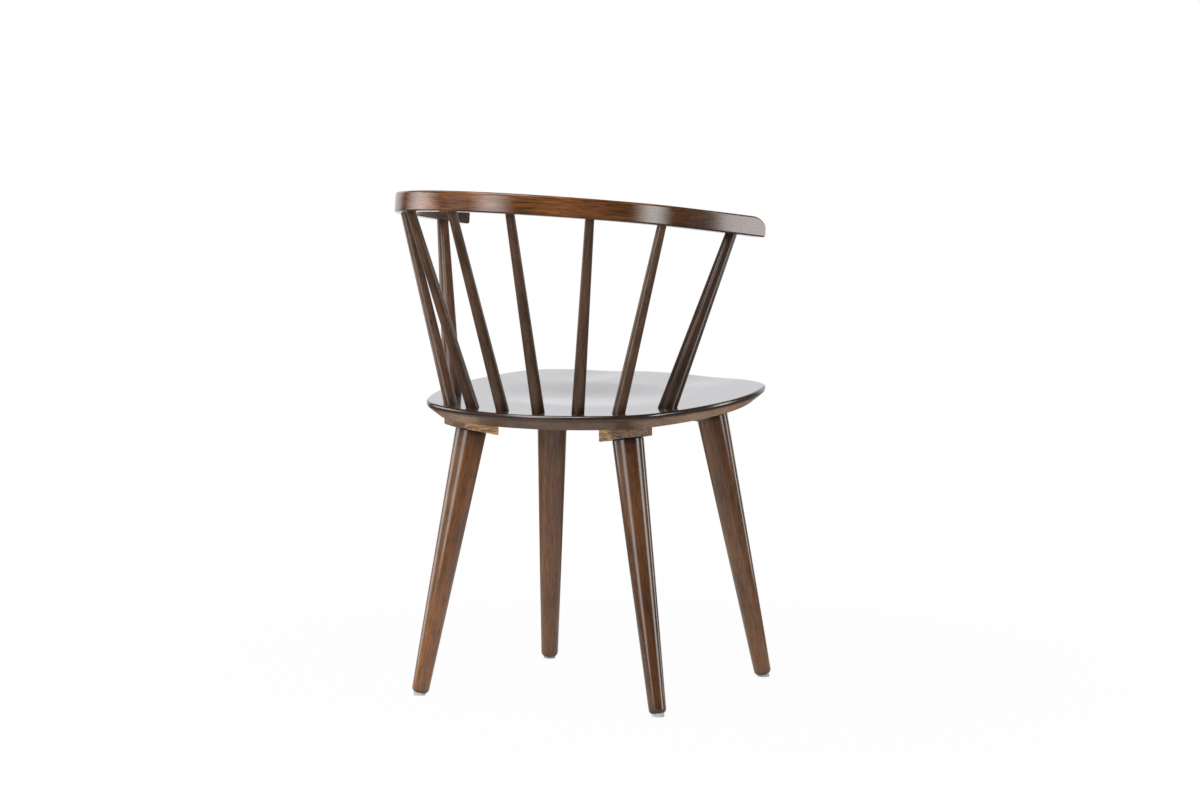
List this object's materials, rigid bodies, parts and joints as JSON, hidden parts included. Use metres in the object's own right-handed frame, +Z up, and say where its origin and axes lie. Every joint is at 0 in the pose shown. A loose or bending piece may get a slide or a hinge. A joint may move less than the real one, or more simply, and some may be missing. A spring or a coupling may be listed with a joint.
{
  "type": "spindle-back dining armchair",
  "caption": "Low wooden armchair: saddled seat on splayed turned legs, with a bent bow rail carried on tapered spindles as back and arms.",
  "frame": {"origin": "on the floor under the middle of the chair's overall box", "axes": "+Z up, the chair's front faces -Y, +X is the sitter's left"},
  "size_m": [0.5372, 0.6137, 0.7937],
  "materials": {
    "stained_wood": "satin lacquer over dark walnut stain",
    "bare_wood": "lightly stained, unlacquered",
    "nylon": "moulded",
    "steel": "zinc plated"
  },
  "bodies": {
    "root": {"arm_post_left": "stained_wood", "arm_post_right": "stained_wood", "back_rail": "stained_wood", "block_screws": "steel", "glide_front_left": "nylon", "glide_front_right": "nylon", "glide_nails": "steel", "glide_rear_left": "nylon", "glide_rear_right": "nylon", "hanger_bolts": "steel", "leg_block_front_left": "bare_wood", "leg_block_front_right": "bare_wood", "leg_block_rear_left": "bare_wood", "leg_block_rear_right": "bare_wood", "leg_front_left": "stained_wood", "leg_front_right": "stained_wood", "leg_rear_left": "stained_wood", "leg_rear_right": "stained_wood", "seat": "stained_wood", "spindle_1_left": "stained_wood", "spindle_1_right": "stained_wood", "spindle_2_left": "stained_wood", "spindle_2_right": "stained_wood", "spindle_3_left": "stained_wood", "spindle_3_right": "stained_wood", "threaded_inserts": "steel"}
  },
  "joints": []
}
